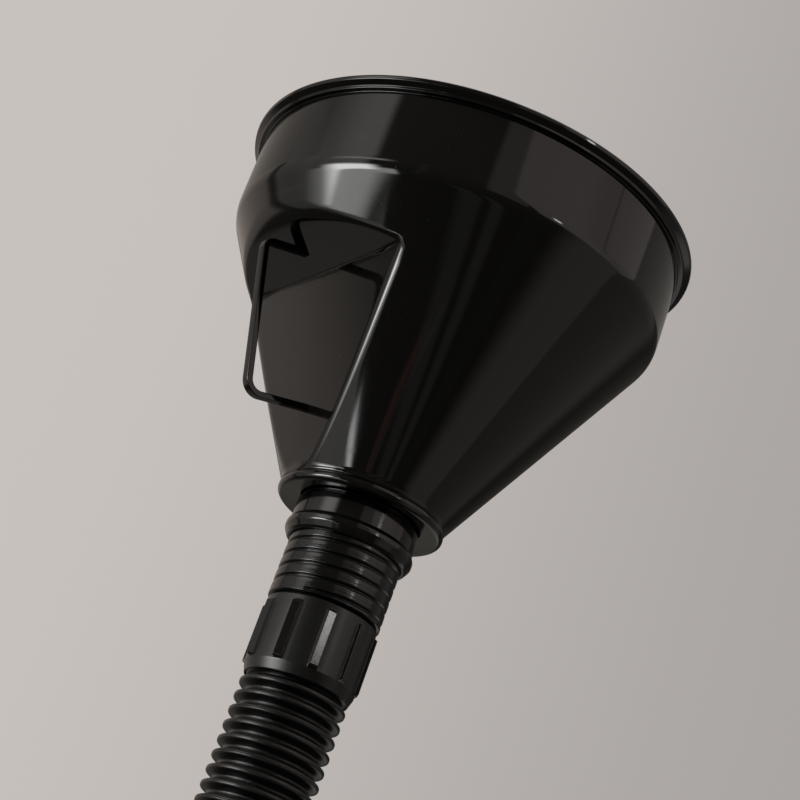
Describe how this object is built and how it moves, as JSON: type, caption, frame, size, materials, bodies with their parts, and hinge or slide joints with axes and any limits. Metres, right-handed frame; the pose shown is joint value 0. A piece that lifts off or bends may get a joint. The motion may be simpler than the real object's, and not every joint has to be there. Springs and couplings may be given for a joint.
{
  "type": "funnel with flexible spout",
  "caption": "Wide-mouth bowl funnel with a side carrying loop, a lift-out strainer, and a corrugated bending spout joined by a ribbed screw coupling.",
  "frame": {"origin": "centre of the mouth, in the plane of the lip's top", "axes": "+Z along the funnel's axis, out of the mouth; the spout hangs toward -Z; the carrying loop is on the -X side"},
  "size_m": [0.146, 0.146, 0.3832],
  "materials": {
    "bowl_plastic": "gloss",
    "collar_plastic": "satin",
    "hose_plastic": "semi-gloss",
    "strainer_plastic": "satin",
    "washer_rubber": "matte",
    "gauze_brass": "woven wire"
  },
  "bodies": {
    "bowl": {"funnel_bowl": "bowl_plastic", "carry_loop": "bowl_plastic", "socket_sleeve": "bowl_plastic", "sealing_washer": "washer_rubber"},
    "strainer": {"strainer_ring": "strainer_plastic", "strainer_gauze": "gauze_brass"},
    "hose_top": {"hose_cuff": "hose_plastic"},
    "coupling": {"threaded_fitting": "bowl_plastic", "grip_collar": "collar_plastic"},
    "segment_01": {"hose_segment_01": "hose_plastic"},
    "segment_02": {"hose_segment_02": "hose_plastic"},
    "segment_03": {"hose_segment_03": "hose_plastic"},
    "segment_04": {"hose_segment_04": "hose_plastic"},
    "segment_05": {"hose_segment_05": "hose_plastic"},
    "segment_06": {"hose_segment_06": "hose_plastic"},
    "segment_07": {"hose_segment_07": "hose_plastic"},
    "segment_08": {"hose_segment_08": "hose_plastic"},
    "segment_09": {"hose_segment_09": "hose_plastic"},
    "segment_10": {"hose_segment_10": "hose_plastic"},
    "segment_11": {"hose_segment_11": "hose_plastic"},
    "segment_12": {"hose_segment_12": "hose_plastic"},
    "outlet": {"hose_end_cuff": "hose_plastic", "outlet_nozzle": "bowl_plastic"}
  },
  "joints": [
    {"name": "strainer_lift", "type": "slide", "parent": "bowl", "child": "strainer", "axis": [0, 0, 1], "range_m": [0, 0.12]},
    {"name": "spout_unscrew", "type": "slide", "parent": "bowl", "child": "hose_top", "axis": [0, 0, -1], "range_m": [0, 0.012]},
    {"name": "collar_turn", "type": "hinge", "parent": "hose_top", "child": "coupling", "pos_m": [0, 0, -0.153], "axis": [0, 0, -1], "range_deg": [0, 1081]},
    {"name": "hose_bend_x", "type": "hinge", "parent": "hose_top", "child": "segment_01", "pos_m": [0, 0, -0.17035], "axis": [1, 0, 0], "range_deg": [-12, 12], "stiffness_Nm_per_rad": 1},
    {"name": "hose_bend_y", "type": "hinge", "parent": "segment_01", "child": "segment_02", "pos_m": [0, 0, -0.18385], "axis": [0, 1, 0], "range_deg": [-12, 12], "stiffness_Nm_per_rad": 1},
    {"name": "hose_bend_x_2", "type": "hinge", "parent": "segment_02", "child": "segment_03", "pos_m": [0, 0, -0.19735], "axis": [1, 0, 0], "range_deg": [-12, 12], "stiffness_Nm_per_rad": 1},
    {"name": "hose_bend_y_2", "type": "hinge", "parent": "segment_03", "child": "segment_04", "pos_m": [0, 0, -0.21085], "axis": [0, 1, 0], "range_deg": [-12, 12], "stiffness_Nm_per_rad": 1},
    {"name": "hose_bend_x_3", "type": "hinge", "parent": "segment_04", "child": "segment_05", "pos_m": [0, 0, -0.22435], "axis": [1, 0, 0], "range_deg": [-12, 12], "stiffness_Nm_per_rad": 1},
    {"name": "hose_bend_y_3", "type": "hinge", "parent": "segment_05", "child": "segment_06", "pos_m": [0, 0, -0.23785], "axis": [0, 1, 0], "range_deg": [-12, 12], "stiffness_Nm_per_rad": 1},
    {"name": "hose_bend_x_4", "type": "hinge", "parent": "segment_06", "child": "segment_07", "pos_m": [0, 0, -0.25135], "axis": [1, 0, 0], "range_deg": [-12, 12], "stiffness_Nm_per_rad": 1},
    {"name": "hose_bend_y_4", "type": "hinge", "parent": "segment_07", "child": "segment_08", "pos_m": [0, 0, -0.26485], "axis": [0, 1, 0], "range_deg": [-12, 12], "stiffness_Nm_per_rad": 1},
    {"name": "hose_bend_x_5", "type": "hinge", "parent": "segment_08", "child": "segment_09", "pos_m": [0, 0, -0.27835], "axis": [1, 0, 0], "range_deg": [-12, 12], "stiffness_Nm_per_rad": 1},
    {"name": "hose_bend_y_5", "type": "hinge", "parent": "segment_09", "child": "segment_10", "pos_m": [0, 0, -0.29185], "axis": [0, 1, 0], "range_deg": [-12, 12], "stiffness_Nm_per_rad": 1},
    {"name": "hose_bend_x_6", "type": "hinge", "parent": "segment_10", "child": "segment_11", "pos_m": [0, 0, -0.30535], "axis": [1, 0, 0], "range_deg": [-12, 12], "stiffness_Nm_per_rad": 1},
    {"name": "hose_bend_y_6", "type": "hinge", "parent": "segment_11", "child": "segment_12", "pos_m": [0, 0, -0.31885], "axis": [0, 1, 0], "range_deg": [-12, 12], "stiffness_Nm_per_rad": 1},
    {"name": "hose_bend_x_7", "type": "hinge", "parent": "segment_12", "child": "outlet", "pos_m": [0, 0, -0.33235], "axis": [1, 0, 0], "range_deg": [-12, 12], "stiffness_Nm_per_rad": 1}
  ],
  "couplings": [
    {"joint": "collar_turn", "follows": "spout_unscrew", "rad_per_m": 1570.8},
    {"joint": "hose_bend_x_2", "follows": "hose_bend_x", "ratio": 1},
    {"joint": "hose_bend_y_2", "follows": "hose_bend_y", "ratio": 1},
    {"joint": "hose_bend_x_3", "follows": "hose_bend_x", "ratio": 1},
    {"joint": "hose_bend_y_3", "follows": "hose_bend_y", "ratio": 1},
    {"joint": "hose_bend_x_4", "follows": "hose_bend_x", "ratio": 1},
    {"joint": "hose_bend_y_4", "follows": "hose_bend_y", "ratio": 1},
    {"joint": "hose_bend_x_5", "follows": "hose_bend_x", "ratio": 1},
    {"joint": "hose_bend_y_5", "follows": "hose_bend_y", "ratio": 1},
    {"joint": "hose_bend_x_6", "follows": "hose_bend_x", "ratio": 1},
    {"joint": "hose_bend_y_6", "follows": "hose_bend_y", "ratio": 1},
    {"joint": "hose_bend_x_7", "follows": "hose_bend_x", "ratio": 1}
  ]
}
